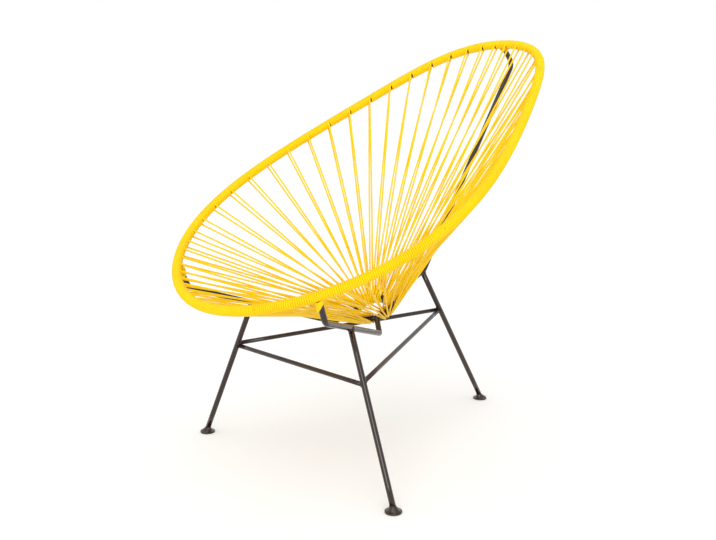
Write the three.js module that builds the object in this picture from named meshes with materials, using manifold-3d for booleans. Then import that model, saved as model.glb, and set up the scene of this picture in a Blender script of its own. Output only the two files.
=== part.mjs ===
// Lounge chair: a welded rod frame with a round bucket seat strung in round plastic cord.
// Millimetres, +Z up, the sitter faces -Y, +X is the sitter's left.
// While it is built, Y is the distance behind the front tip of the rim; at the end the whole
// chair is moved so that its origin lies under the middle of its box, on the floor.

import * as THREE from "three";
import { mergeVertices } from "three/addons/utils/BufferGeometryUtils.js";
import Module from "manifold-3d";

const wasm = await Module();
wasm.setup();

// Rods, cord and clearances
const HOOP_ROD = 12;
const RING_ROD = 11;
const BRACKET_ROD = 12;
const SPINE_ROD = 12;
const LEG_ROD = 12;
const BRACE_ROD = 9.5;
const CORD = 4.4;
const CLEARANCE = 0.3;

// Rim hoop: overall width over the cord, run from front to top, and heights of the centre line
const SEAT_WIDTH = 700;
const RIM_RUN = 893.5;
const RIM_FRONT_HEIGHT = 381;
const RIM_TOP_HEIGHT = 889;
// Side profile: a cubic curve whose handles are shares of the run and of the rise
const PROFILE_RUN_SHARES = [0, 0.373, 0.736, 1];
const PROFILE_RISE_SHARES = [0, 0.351, 0.703, 1];
// Plan outline: half width over sine, as a series in the cosine, which makes the front full
const OUTLINE_SHARES = [1, 0.43, 0.09, -0.28];

// Ring under the seat, which all the cord runs to
const RING_RADIUS = 43;
const RING_BACK = 448;
const RING_HEIGHT = 305;
const RING_TILT = 24;
const RISER_ANGLE = 52;
// Room that the cord leaves beside the spine and before and behind each riser, in cord widths
const SPINE_ROOM = 0.3;
const RISER_FRONT_ROOM = 0.2;
const RISER_REAR_ROOM = 1;

// Strand pairs on each side: even ones in front of the bracket, then a spread-out fan behind it
const FRONT_PAIRS = 8;
const FRONT_PITCH = 30.5;
const SIDE_PAIRS = 21;
const GROUP_COUNTS = [4, 4, 3, 3, 3, 3, 3, 3, 3];
// Behind the bracket the spacing widens and narrows again, by shares of the way to the top
const WIDE_SPACING_SHARE = 1.95;
const WIDENING_SHARES = [0, 0.25];
const NARROWING_SHARES = [0.74, 1.04];
// Half way to the ring the two strands of a pair pass beside each other with this room
const CROSSING_ROOM = 1.2;

// Front brackets: stub under the rim, bar, and riser to the ring
const STUB_IN = 6;
const STUB_BACK = 23;
const STUB_DROP = 55;
const BRACKET_BEND = 22;
const RISER_RUN = 48;
const RISER_DROP = 23.5;
const RISER_BEND = 13;

// Rear spine: stub behind the rim's top, long straight, and foot to the ring
const SPINE_TOP_BACK = 43.5;
const SPINE_TOP_DROP = 45.5;
const SPINE_TOP_BEND = 20;
const HIP_BACK = 616.5;
const HIP_HEIGHT = 367.5;
const HIP_BEND = 16;
const SPINE_UNDER_RING = 10;
const SPINE_PAST_RING = 6;

// Legs and braces: each leg points at a place this high over the middle of its foot disc
const FRONT_FEET_SPREAD = 592.5;
const FRONT_FEET_BACK = 201;
const REAR_FOOT_BACK = 841.5;
const LEG_AIM_HEIGHT = 8;
const LEG_ON_BAR_SHARE = 0.422;
const LEG_ON_SPINE_SHARE = 0.038;
const FRONT_BRACE_HEIGHT = 225;
const SIDE_BRACE_HEIGHT = 230;
const REAR_BRACE_HEIGHT = 264;

// Foot discs with their weld collars
const FOOT_RADIUS = 17;
const FOOT_THICKNESS = 4;
const FOOT_EDGE = 0.8;
const COLLAR_BASE_RADIUS = 10.5;
const COLLAR_TOP_RADIUS = 7.8;
const COLLAR_HEIGHT = 9;

// Cord wound round the stubs
const WRAP_GAP = 0.6;
const SPINE_WRAP_TURNS = 2;
const BRACKET_WRAP_TURNS = 2;
const BRACKET_WRAP_FAN_SHARE = 0.6;

// Facets
const ROD_SIDES = 12;
const HOOP_SIDES = 8;
const SLEEVE_SIDES = 8;
const CORD_SIDES = 6;
const RING_STEPS = 40;
const FOOT_SIDES = 24;
const BEND_STEPS = 4;
const WRAP_STEPS = 12;
const RIM_SAMPLES = 1440;

const SLEEVE_RADIUS = HOOP_ROD / 2 + CORD;
const ENTRY_DEPTH_SHARE = 0.45;
const UP = new THREE.Vector3(0, 0, 1);
const vec = (x, y, z) => new THREE.Vector3(x, y, z);
const mirrored = (point) => vec(-point.x, point.y, point.z);
const radians = THREE.MathUtils.degToRad;
const lerp = THREE.MathUtils.lerp;
const headingTo = (from, to) => to.clone().sub(from).normalize();
const inset = (from, to, distance) => from.clone().addScaledVector(headingTo(from, to), distance);

// Materials
const finish = (color, roughness, metalness) =>
  new THREE.MeshStandardMaterial({ color, roughness, metalness });
const frameFinish = () => finish(0x35312f, 0.42, 0.55);
const cordFinish = () => finish(0xffd000, 0.35, 0);

// Solids: a closed geometry becomes an exact solid for cuts and joins, and comes back as triangles
function toSolid(geometry) {
  const bare = geometry.clone();
  Object.keys(bare.attributes)
    .filter((name) => name !== "position")
    .forEach((name) => bare.deleteAttribute(name));
  const merged = mergeVertices(bare);
  return new wasm.Manifold(
    new wasm.Mesh({
      numProp: 3,
      vertProperties: new Float32Array(merged.attributes.position.array),
      triVerts: new Uint32Array(merged.index.array),
    }),
  );
}

function toGeometry(solid) {
  const { vertProperties, triVerts } = solid.getMesh();
  const geometry = new THREE.BufferGeometry();
  geometry.setAttribute("position", new THREE.BufferAttribute(vertProperties, 3));
  geometry.setIndex(new THREE.BufferAttribute(triVerts, 1));
  geometry.computeVertexNormals();
  return geometry;
}

// A path through given points, whose sections are given too, so that bends stay mitred
class RoutedPath extends THREE.Curve {
  constructor(points, frames) {
    super();
    this.points = points;
    this.frames = frames;
  }

  getPoint(share, target = vec(0, 0, 0)) {
    return target.copy(this.points[Math.round(share * (this.points.length - 1))]);
  }

  getPointAt(share, target) {
    return this.getPoint(share, target);
  }

  getSpacedPoints() {
    return this.points;
  }

  computeFrenetFrames() {
    return this.frames;
  }
}

// Sections of a tube through the points, slid along each straight onto the mitre plane of its bend
function mitredFrames(points, hint) {
  const frames = { tangents: [], normals: [], binormals: [] };
  const heading = (i) => headingTo(points[i], points[i + 1]);
  const last = points.length - 1;
  const square = (v, axis) => v.clone().addScaledVector(axis, -v.dot(axis)).normalize();
  let normal = square(hint, heading(0));
  for (let i = 0; i <= last; i += 1) {
    const before = heading(Math.max(i - 1, 0));
    const after = heading(Math.min(i, last - 1));
    const mitre = before.clone().add(after).normalize();
    const slide = (v) => v.clone().addScaledVector(before, -v.dot(mitre) / before.dot(mitre));
    const slid = slide(normal);
    frames.tangents.push(mitre);
    frames.normals.push(slid);
    frames.binormals.push(slide(before.clone().cross(normal)));
    normal = square(slid, after);
  }
  return frames;
}

function polygon(radius, sides, Shape = THREE.Shape) {
  const corners = Array.from({ length: sides }, (_, i) => {
    const angle = (2 * Math.PI * i) / sides;
    return new THREE.Vector2(radius * Math.cos(angle), radius * Math.sin(angle));
  });
  return new Shape(corners);
}

function tube(points, diameter, sides = ROD_SIDES, hint = null) {
  const heading = headingTo(points[0], points[1]);
  const across = hint ?? (Math.abs(heading.z) < 0.9 ? UP : vec(0, 1, 0));
  const extrudePath = new RoutedPath(points, mitredFrames(points, across));
  const section = polygon(diameter / 2, sides);
  return new THREE.ExtrudeGeometry(section, { steps: points.length - 1, bevelEnabled: false, extrudePath });
}

// Rod through corner points, with a round bend of its own radius at each inner corner
function bentPoints(corners, radii) {
  const points = [corners[0]];
  for (let i = 1; i < corners.length - 1; i += 1) {
    const back = headingTo(corners[i], corners[i - 1]);
    const on = headingTo(corners[i], corners[i + 1]);
    const turn = Math.PI - back.angleTo(on);
    const reach = radii[i - 1] * Math.tan(turn / 2);
    const middle = back.clone().add(on).normalize();
    const centre = corners[i].clone().addScaledVector(middle, radii[i - 1] / Math.cos(turn / 2));
    const start = corners[i].clone().addScaledVector(back, reach).sub(centre);
    const axis = back.clone().cross(on).normalize();
    for (let step = 0; step <= BEND_STEPS; step += 1) {
      points.push(start.clone().applyAxisAngle(axis, (-turn * step) / BEND_STEPS).add(centre));
    }
  }
  points.push(corners[corners.length - 1]);
  return points;
}

// Rim centre line: angle 0 at the front tip, a quarter turn on the sitter's left, half at the top
function cubicOf(shares, t) {
  const u = 1 - t;
  return shares[0] * u ** 3 + 3 * shares[1] * t * u ** 2 + 3 * shares[2] * t ** 2 * u + shares[3] * t ** 3;
}

function outlineOf(angle) {
  const c = Math.cos(angle);
  return Math.sin(angle) * OUTLINE_SHARES.reduce((sum, share, power) => sum + share * c ** power, 0);
}

const sampleAngles = Array.from({ length: RIM_SAMPLES + 1 }, (_, i) => (Math.PI * i) / RIM_SAMPLES);
const outlinePeak = Math.max(...sampleAngles.map(outlineOf));
const halfWidth = SEAT_WIDTH / 2 - SLEEVE_RADIUS;

function rimPoint(angle) {
  const t = (1 - Math.cos(angle)) / 2;
  return vec(
    (halfWidth * outlineOf(angle)) / outlinePeak,
    RIM_RUN * cubicOf(PROFILE_RUN_SHARES, t),
    lerp(RIM_FRONT_HEIGHT, RIM_TOP_HEIGHT, cubicOf(PROFILE_RISE_SHARES, t)),
  );
}

// Length along the rim from the front tip, and the angle at a given length, up to the top
const rimLengths = [0];
sampleAngles.slice(1).forEach((angle, i) => {
  rimLengths.push(rimLengths[i] + rimPoint(angle).distanceTo(rimPoint(sampleAngles[i])));
});
const HALF_RIM = rimLengths[RIM_SAMPLES];

function angleAt(length) {
  const after = Math.max(1, rimLengths.findIndex((reached) => reached >= length - CLEARANCE / RIM_SAMPLES));
  const span = rimLengths[after] - rimLengths[after - 1];
  return lerp(sampleAngles[after - 1], sampleAngles[after], (length - rimLengths[after - 1]) / span);
}

// Ring: a circle whose rear is tilted up
const ringCentre = vec(0, RING_BACK, RING_HEIGHT);
const tilt = radians(RING_TILT);

function ringFrame(angle) {
  const outward = vec(Math.sin(angle), -Math.cos(angle) * Math.cos(tilt), -Math.cos(angle) * Math.sin(tilt));
  const along = vec(Math.cos(angle), Math.sin(angle) * Math.cos(tilt), Math.sin(angle) * Math.sin(tilt));
  return { point: ringCentre.clone().addScaledVector(outward, RING_RADIUS), along };
}

const ringAxis = vec(0, -Math.sin(tilt), Math.cos(tilt));

function distanceFromRingAxis(point) {
  const arm = point.clone().sub(ringCentre);
  return arm.addScaledVector(ringAxis, -arm.dot(ringAxis)).length();
}

// A place on the left half of the rim, by its length from the front tip.
// Its section is spanned by the way in to the ring and the way up to the sitter.
function rimStation(length) {
  const angle = angleAt(Math.min(length, HALF_RIM));
  const step = Math.PI / RIM_SAMPLES;
  const point = rimPoint(angle);
  const along = rimPoint(angle + step).sub(rimPoint(angle - step)).normalize();
  const inward = ringCentre.clone().sub(point);
  inward.addScaledVector(along, -inward.dot(along)).normalize();
  return { point, along, inward, up: along.clone().cross(inward) };
}

// Strand pairs on one half: lengths from the front tip, and angles on the ring
const BRACKET_LENGTH = FRONT_PAIRS * FRONT_PITCH;
const smooth = (shares, t) => THREE.MathUtils.smoothstep(t, shares[0], shares[1]);

function spacingAt(share) {
  const wide = smooth(WIDENING_SHARES, share) * (1 - smooth(NARROWING_SHARES, share));
  return lerp(1, WIDE_SPACING_SHARE, wide);
}

function sidePairShares() {
  const counts = [0];
  for (let i = 1; i <= RIM_SAMPLES; i += 1) {
    counts.push(counts[i - 1] + 1 / spacingAt((i - 1 / 2) / RIM_SAMPLES));
  }
  return Array.from({ length: SIDE_PAIRS }, (_, pair) => {
    const wanted = (counts[RIM_SAMPLES] * (pair + 1 / 2)) / SIDE_PAIRS;
    const after = counts.findIndex((count) => count >= wanted);
    return (after - (counts[after] - wanted) / (counts[after] - counts[after - 1])) / RIM_SAMPLES;
  });
}

const frontLengths = Array.from({ length: FRONT_PAIRS }, (_, pair) => (pair + 1 / 2) * FRONT_PITCH);
const sideLengths = sidePairShares().map((share) => lerp(BRACKET_LENGTH, HALF_RIM, share));
const pairLengths = [...frontLengths, ...sideLengths];

// On the ring the loops stand side by side and leave room for the risers and the spine
const besideRod = (rod, room) => Math.asin((rod / 2 + CORD * (1 / 2 + room)) / RING_RADIUS);
const riser = radians(RISER_ANGLE);
const LOOP_REACH = RING_ROD / 2 + CLEARANCE + CORD / 2;
const frontStart = Math.asin((CORD + CLEARANCE) / 2 / (RING_RADIUS - LOOP_REACH));
const frontEnd = riser - besideRod(BRACKET_ROD, RISER_FRONT_ROOM);
const sideStart = riser + besideRod(BRACKET_ROD, RISER_REAR_ROOM);
const sideEnd = Math.PI - besideRod(SPINE_ROD, SPINE_ROOM);
const frontStep = (frontEnd - frontStart) / (FRONT_PAIRS - 1);
const sideStep = (sideEnd - sideStart) / (SIDE_PAIRS - 1);
const pairRingAngles = [
  ...frontLengths.map((_, pair) => frontStart + pair * frontStep),
  ...sideLengths.map((_, pair) => sideStart + pair * sideStep),
];

// The rim is divided half way between the pairs, and at each stub
const PAIRS = pairLengths.length;

function borderBefore(pair) {
  if (pair === 0) return 0;
  if (pair === FRONT_PAIRS) return BRACKET_LENGTH;
  if (pair === PAIRS) return HALF_RIM;
  return (pairLengths[pair - 1] + pairLengths[pair]) / 2;
}

const borders = Array.from({ length: PAIRS + 1 }, (_, pair) => borderBefore(pair));

// Groups of neighbouring pairs, each with its first pair and the borders of its stretch of rim
let taken = 0;
const groups = GROUP_COUNTS.map((count) => {
  const first = taken;
  taken += count;
  return { first, count, lengths: borders.slice(first, taken + 1) };
});

function sectionFrames(stations) {
  return {
    tangents: stations.map(({ along }) => along),
    normals: stations.map(({ inward }) => inward),
    binormals: stations.map(({ up }) => up),
  };
}

// Rim hoop: one closed rod through every section of both halves
function rimHoop(clearance) {
  const left = borders.map(rimStation);
  const right = left
    .slice(1, -1)
    .reverse()
    .map(({ point, along, inward, up }) => ({
      point: mirrored(point),
      along: mirrored(along).negate(),
      inward: mirrored(inward),
      up: mirrored(up),
    }));
  const stations = [...left, ...right, left[0]];
  const path = new RoutedPath(stations.map(({ point }) => point), sectionFrames(stations));
  const radius = HOOP_ROD / 2 + clearance / Math.cos(Math.PI / HOOP_SIDES);
  return toSolid(new THREE.TubeGeometry(path, stations.length - 1, radius, HOOP_SIDES, true));
}

// Winding on the rim between two borders: a sleeve whose bore follows the hoop with clearance
function windingSleeve(group) {
  const stations = group.lengths.map(rimStation);
  const last = stations.length - 1;
  const points = stations.map(({ point }) => point);
  const start = inset(points[0], points[1], CLEARANCE / 2);
  const end = inset(points[last], points[last - 1], CLEARANCE / 2);
  const path = new RoutedPath([start, ...points.slice(1, -1), end], sectionFrames(stations));
  const section = polygon(SLEEVE_RADIUS, SLEEVE_SIDES);
  const boreRadius = HOOP_ROD / 2 + CLEARANCE / Math.cos(Math.PI / HOOP_SIDES);
  section.holes.push(polygon(boreRadius, HOOP_SIDES, THREE.Path));
  const options = { steps: last, bevelEnabled: false, extrudePath: path };
  return toSolid(new THREE.ExtrudeGeometry(section, options));
}

// How far a loop rises over its neighbours where they leave it too little room to lie between them
const liftOver = (spacing) => Math.sqrt(Math.max(0, (CORD + 2 * CLEARANCE) ** 2 - spacing ** 2));

// Strand pair: off the rim's upper side to the ring's underside, round the ring's rod, and from its
// top back to the rim's lower side, so that the two strands cross half way, one beside the other.
// Every second loop lies over its neighbours where they crowd.
function strandPair(pair) {
  const share = (pairLengths[pair] - borders[pair]) / (borders[pair + 1] - borders[pair]);
  const rim = rimStation(borders[pair]).point.lerp(rimStation(borders[pair + 1]).point, share);
  const rimUp = rimStation(pairLengths[pair]).up;
  const ring = ringFrame(pairRingAngles[pair]);
  const heading = headingTo(ring.point, rim);
  const out = heading.clone().addScaledVector(ring.along, -heading.dot(ring.along)).normalize();
  const up = out.clone().cross(ring.along);
  const step = pair < FRONT_PAIRS ? frontStep : sideStep;
  const reach = LOOP_REACH;
  const corner = reach * Math.tan(Math.PI / 8);
  const loopPoint = (inwards, upwards, fan) => {
    const arm = out.clone().multiplyScalar(-inwards).addScaledVector(up, upwards);
    const spacing = step * distanceFromRingAxis(ring.point.clone().add(arm)) * fan;
    const lift = (pair % 2) * liftOver(spacing);
    return ring.point.clone().addScaledVector(arm, 1 + lift / reach);
  };
  const half = Math.cos(Math.PI / CORD_SIDES) * (CORD / 2);
  const rimSide = (sign) => rim.clone().addScaledVector(rimUp, sign * (SLEEVE_RADIUS - half));
  const aside = heading.clone().cross(rimUp).setLength((CORD + CROSSING_ROOM) / 2);
  const halfWay = (end, loop, sign) => end.clone().lerp(loop, 1 / 2).addScaledVector(aside, sign);
  const fan = heading.dot(out);
  const loop = [
    loopPoint(corner, -reach, fan),
    loopPoint(reach, -corner, 1),
    loopPoint(reach, corner, 1),
    loopPoint(corner, reach, fan),
  ];
  const points = [
    rimSide(1),
    halfWay(rimSide(1), loop[0], 1),
    ...loop,
    halfWay(rimSide(-1), loop[3], -1),
    rimSide(-1),
  ];
  return toSolid(tube(points, CORD, CORD_SIDES, rimUp));
}

// A group's winding and strands, with room where a stub passes through the winding
function cordGroup(group, stubRooms) {
  const strands = Array.from({ length: group.count }, (_, i) => strandPair(group.first + i));
  const whole = strands.reduce((solid, strand) => solid.add(strand), windingSleeve(group));
  return stubRooms.reduce((solid, stub) => solid.subtract(stub), whole);
}

// Seat ring
const ringSolid = (diameter) => {
  const torus = new THREE.TorusGeometry(RING_RADIUS, diameter / 2, ROD_SIDES, RING_STEPS);
  return toSolid(torus.rotateX(tilt).translate(ringCentre.x, ringCentre.y, ringCentre.z));
};

// Front bracket on the left: stub off the rim, bar, and riser to the ring
const rimAtBracket = rimPoint(angleAt(BRACKET_LENGTH));
const bracketOuter = rimAtBracket.clone().add(vec(-STUB_IN, STUB_BACK, -STUB_DROP));
const ringAtRiser = ringFrame(riser);
const bracketInner = ringAtRiser.point
  .clone()
  .addScaledVector(vec(Math.sin(riser), -Math.cos(riser), 0), RISER_RUN)
  .addScaledVector(UP, -RISER_DROP);
const bracketPoints = bentPoints(
  [
    inset(rimAtBracket, bracketOuter, HOOP_ROD * (ENTRY_DEPTH_SHARE / 2)),
    bracketOuter,
    bracketInner,
    inset(ringAtRiser.point, bracketInner, RING_ROD * (ENTRY_DEPTH_SHARE / 2)),
  ],
  [BRACKET_BEND, RISER_BEND],
);

// Rear spine in the middle plane
const rimTop = rimPoint(Math.PI);
const spineTop = rimTop.clone().add(vec(0, SPINE_TOP_BACK, -SPINE_TOP_DROP));
const hip = vec(0, HIP_BACK, HIP_HEIGHT);
const spineEnd = ringFrame(Math.PI).point.add(vec(0, -SPINE_PAST_RING, -SPINE_UNDER_RING));
const spinePoints = bentPoints(
  [inset(rimTop, spineTop, HOOP_ROD * (ENTRY_DEPTH_SHARE / 2)), spineTop, hip, spineEnd],
  [SPINE_TOP_BEND, HIP_BEND],
);

// Legs: from the floor to the bar, or to the spine just ahead of the hip
const legOnFloor = (disc, top) => {
  const aim = disc.clone().addScaledVector(UP, LEG_AIM_HEIGHT);
  return aim.clone().addScaledVector(aim.clone().sub(top), LEG_AIM_HEIGHT / (top.z - LEG_AIM_HEIGHT));
};
const legEnd = (foot, top) => inset(top, foot, LEG_ROD * (ENTRY_DEPTH_SHARE / 2));
const frontDisc = vec(FRONT_FEET_SPREAD / 2, FRONT_FEET_BACK, 0);
const frontLegTop = bracketOuter.clone().lerp(bracketInner, LEG_ON_BAR_SHARE);
const frontLegFoot = legOnFloor(frontDisc, frontLegTop);
const frontLegPoints = [frontLegFoot, legEnd(frontLegFoot, frontLegTop)];
const rearDisc = vec(0, REAR_FOOT_BACK, 0);
const rearLegTop = hip.clone().lerp(spineEnd, LEG_ON_SPINE_SHARE);
const rearLegFoot = legOnFloor(rearDisc, rearLegTop);
const rearLegPoints = [rearLegFoot, legEnd(rearLegFoot, rearLegTop)];
const onLeg = ([foot, top], height) => foot.clone().lerp(top, height / top.z);

// Everything below a height, for level cuts
function below(height) {
  const size = RIM_RUN + SEAT_WIDTH;
  return toSolid(new THREE.BoxGeometry(size, 2 * size, size).translate(0, 0, height - size / 2));
}

function leg(points, carrier) {
  return toSolid(tube(points, LEG_ROD)).subtract(below(FOOT_THICKNESS + CLEARANCE)).subtract(carrier);
}

function foot(centre, [base, top]) {
  const rim = FOOT_RADIUS - FOOT_EDGE;
  const profile = [
    [0, 0],
    [rim, 0],
    [FOOT_RADIUS, FOOT_EDGE],
    [FOOT_RADIUS, FOOT_THICKNESS - FOOT_EDGE],
    [rim, FOOT_THICKNESS],
    [0, FOOT_THICKNESS],
  ].map(([x, y]) => new THREE.Vector2(x, y));
  const disc = new THREE.LatheGeometry(profile, FOOT_SIDES);
  disc.rotateX(Math.PI / 2).translate(centre.x, centre.y, 0);
  const lean = headingTo(base, top);
  const turn = new THREE.Quaternion().setFromUnitVectors(vec(0, 1, 0), lean);
  const collar = new THREE.CylinderGeometry(COLLAR_TOP_RADIUS, COLLAR_BASE_RADIUS, COLLAR_HEIGHT, ROD_SIDES);
  collar.translate(0, COLLAR_HEIGHT / 2, 0).applyQuaternion(turn).translate(base.x, base.y, 0);
  const socket = toSolid(tube([base, top], LEG_ROD + 2 * CLEARANCE)).subtract(below(FOOT_THICKNESS));
  return toSolid(disc).add(toSolid(collar).subtract(below(FOOT_THICKNESS / 2))).subtract(socket);
}

// Brace between two legs, coped round all that it meets
function brace([from, to], rooms) {
  const entry = LEG_ROD * (ENTRY_DEPTH_SHARE / 2);
  const rod = toSolid(tube([inset(from, to, entry), inset(to, from, entry)], BRACE_ROD));
  return rooms.reduce((rest, cutter) => rest.subtract(cutter), rod);
}

// Cord wound round a stub: a helix beside the rod, whose ends run on straight. Its turns may fan
// out, so that on one side of the rod they reach further from the rim than on the other.
// Its least gap to itself is measured on the points of its centre line and printed.
function stubWrap({ from, to, rod, turns, fanTowards, fanShare, name }) {
  const axis = headingTo(from, to);
  const across = fanTowards.clone().addScaledVector(axis, -fanTowards.dot(axis)).normalize();
  const third = axis.clone().cross(across);
  const radius = (rod / 2 + CLEARANCE + CORD / 2) / Math.cos(Math.PI / WRAP_STEPS);
  const pitch = CORD + WRAP_GAP;
  const first = SLEEVE_RADIUS + 2 * CLEARANCE + CORD / 2;
  const steps = turns * WRAP_STEPS;
  const at = (step) => {
    const angle = Math.PI + (2 * Math.PI * step) / WRAP_STEPS;
    const fan = fanShare * (step / steps) * radius * (1 + Math.cos(angle));
    return from
      .clone()
      .addScaledVector(axis, first + (pitch * step) / WRAP_STEPS + fan)
      .addScaledVector(across, radius * Math.cos(angle))
      .addScaledVector(third, radius * Math.sin(angle));
  };
  const turned = Array.from({ length: steps + 1 }, (_, step) => at(step));
  let least = Infinity;
  turned.forEach((point, i) => {
    turned.slice(i + WRAP_STEPS / 2).forEach((other) => {
      least = Math.min(least, point.distanceTo(other) - CORD);
    });
  });
  console.log(`${name}: least gap between turns ${least.toFixed(2)} mm`);
  const straight = (end, inner) => end.clone().add(end.clone().sub(inner).setLength(CORD));
  const points = [straight(turned[0], turned[1]), ...turned, straight(turned[steps], turned[steps - 1])];
  return toSolid(tube(points, CORD, CORD_SIDES, axis));
}

// Right-hand copy of a left-hand geometry, with its faces turned the right way out again
function mirroredCopy(geometry) {
  const copy = geometry.clone().scale(-1, 1, 1);
  const index = copy.index.array;
  for (let i = 0; i < index.length; i += 3) {
    [index[i], index[i + 1]] = [index[i + 1], index[i]];
  }
  copy.computeVertexNormals();
  return copy;
}

const chair = new THREE.Group();
function place(name, geometry, material) {
  const mesh = new THREE.Mesh(geometry, material());
  mesh.name = name;
  chair.add(mesh);
}

function placeBothSides(name, geometry, material) {
  place(`left_${name}`, geometry, material);
  place(`right_${name}`, mirroredCopy(geometry), material);
}

const room = (points, diameter) => toSolid(tube(points, diameter + 2 * CLEARANCE));
const hoopRoom = rimHoop(CLEARANCE);
const ringRoom = ringSolid(RING_ROD + 2 * CLEARANCE);
const bracket = toSolid(tube(bracketPoints, BRACKET_ROD)).subtract(hoopRoom).subtract(ringRoom);
const spine = toSolid(tube(spinePoints, SPINE_ROD)).subtract(hoopRoom).subtract(ringRoom);
const frontLeg = leg(frontLegPoints, room(bracketPoints, BRACKET_ROD));
const rearLeg = leg(rearLegPoints, room(spinePoints, SPINE_ROD));
const rightLegPoints = frontLegPoints.map(mirrored);
const frontLegRoom = room(frontLegPoints, LEG_ROD);

// On a front leg two braces meet, so the side one is cut where it reaches the front one,
// and on the rear leg the side braces meet in the middle plane
const acrossFront = [onLeg(frontLegPoints, FRONT_BRACE_HEIGHT), onLeg(rightLegPoints, FRONT_BRACE_HEIGHT)];
const alongSide = [onLeg(frontLegPoints, SIDE_BRACE_HEIGHT), onLeg(rearLegPoints, REAR_BRACE_HEIGHT)];
const rightHalf = toSolid(
  new THREE.BoxGeometry(RIM_RUN, RIM_RUN, RIM_RUN).translate((CLEARANCE - RIM_RUN) / 2, REAR_FOOT_BACK, 0),
);
const frontBrace = brace(acrossFront, [frontLegRoom, room(rightLegPoints, LEG_ROD)]);
const sideBrace = brace(alongSide, [
  frontLegRoom,
  room(rearLegPoints, LEG_ROD),
  room(acrossFront, BRACE_ROD),
  rightHalf,
]);

place("rim_hoop", toGeometry(rimHoop(0)), frameFinish);
place("seat_ring", toGeometry(ringSolid(RING_ROD)), frameFinish);
placeBothSides("front_bracket", toGeometry(bracket), frameFinish);
place("rear_spine", toGeometry(spine), frameFinish);
placeBothSides("front_leg", toGeometry(frontLeg), frameFinish);
place("rear_leg", toGeometry(rearLeg), frameFinish);
place("front_brace", toGeometry(frontBrace), frameFinish);
placeBothSides("side_brace", toGeometry(sideBrace), frameFinish);
placeBothSides("front_foot", toGeometry(foot(frontDisc, frontLegPoints)), frameFinish);
place("rear_foot", toGeometry(foot(rearDisc, rearLegPoints)), frameFinish);
const bracketWrap = stubWrap({
  from: rimAtBracket,
  to: bracketOuter,
  rod: BRACKET_ROD,
  turns: BRACKET_WRAP_TURNS,
  fanTowards: rimStation(BRACKET_LENGTH).along.negate(),
  fanShare: BRACKET_WRAP_FAN_SHARE,
  name: "front stub wraps",
});
placeBothSides("stub_wrap", toGeometry(bracketWrap), cordFinish);
const spineWrap = stubWrap({
  from: rimTop,
  to: spineTop,
  rod: SPINE_ROD,
  turns: SPINE_WRAP_TURNS,
  fanTowards: vec(1, 0, 0),
  fanShare: 0,
  name: "spine stub wrap",
});
place("spine_stub_wrap", toGeometry(spineWrap), cordFinish);
const stubRooms = [
  room([rimAtBracket, bracketPoints[1]], BRACKET_ROD),
  room([rimTop, spinePoints[1]], SPINE_ROD),
];
groups.forEach((group, i) => {
  placeBothSides(`seat_cord_${i + 1}`, toGeometry(cordGroup(group, stubRooms)), cordFinish);
});

// Origin: on the floor, under the middle of the whole chair's box
const box = new THREE.Box3().setFromObject(chair);
const middle = box.getCenter(vec(0, 0, 0));
chair.position.set(-middle.x, -middle.y, -box.min.z);

export default chair;
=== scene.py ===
"""Patio lounge chair with a welded rod frame and a round bucket seat strung in plastic cord.

Metres, +Z up, the sitter faces -Y and +X is the sitter's left. Every piece is a surface worked
out from the sizes below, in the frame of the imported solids, and stands in for the solids it names.
"""

import bpy
import numpy as np
from bpy.props import FloatProperty, FloatVectorProperty, IntProperty, PointerProperty
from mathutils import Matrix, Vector


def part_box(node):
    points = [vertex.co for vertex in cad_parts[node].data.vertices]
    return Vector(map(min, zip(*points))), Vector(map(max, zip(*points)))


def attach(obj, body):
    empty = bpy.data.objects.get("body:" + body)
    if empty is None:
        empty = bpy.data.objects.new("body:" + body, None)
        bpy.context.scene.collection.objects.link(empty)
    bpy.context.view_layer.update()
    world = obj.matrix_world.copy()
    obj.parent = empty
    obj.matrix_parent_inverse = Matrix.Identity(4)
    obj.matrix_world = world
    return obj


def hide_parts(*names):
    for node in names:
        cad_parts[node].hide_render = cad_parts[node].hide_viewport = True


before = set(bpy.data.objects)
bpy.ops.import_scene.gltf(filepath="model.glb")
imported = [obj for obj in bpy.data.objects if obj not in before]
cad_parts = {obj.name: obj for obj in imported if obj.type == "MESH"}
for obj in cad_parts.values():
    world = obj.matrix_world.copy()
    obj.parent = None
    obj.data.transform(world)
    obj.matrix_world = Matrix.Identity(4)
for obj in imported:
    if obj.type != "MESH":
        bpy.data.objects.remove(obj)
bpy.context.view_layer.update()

bl_info = {
    "name": "Cord bucket lounge chair",
    "version": (1, 0, 0),
    "blender": (4, 5, 0),
    "location": "View3D > Sidebar > Chair",
    "description": "Builds a rod-framed patio chair strung with plastic cord",
    "category": "Add Mesh",
}

# Places of the frame's corners, as in the solids. Y starts at the front tip of the rim
# and is moved by BACK_SHIFT, which the place of a foot gives.
FOOT_LOW, FOOT_HIGH = (np.array(corner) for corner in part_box("left_front_foot"))
FRONT_DISC = np.array([0.29625, 0.201, 0.0])
REAR_DISC = np.array([0.0, 0.8415, 0.0])
BACK_SHIFT = (FOOT_LOW[1] + FOOT_HIGH[1]) / 2 - FRONT_DISC[1]
SIDEWAYS = np.array([1.0, 0.0, 0.0])
UP = np.array([0.0, 0.0, 1.0])

# Rim hoop: its size, the shares that shape its run, its rise and its outline from above, and the
# steps that measure half of it and make it
RIM_RUN = 0.8935
RIM_FRONT_HEIGHT = 0.381
RIM_TOP_HEIGHT = 0.889
HALF_WIDTH = 0.3396
RUN_SHARES = (0.0, 0.373, 0.736, 1.0)
RISE_SHARES = (0.0, 0.351, 0.703, 1.0)
OUTLINE_SHARES = (1.0, 0.43, 0.09, -0.28)
FINE_STEPS = 5760
ANGLE_NUDGE = 0.0005
HOOP_STEPS = 180
HOOP_SIDES = 14

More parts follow.
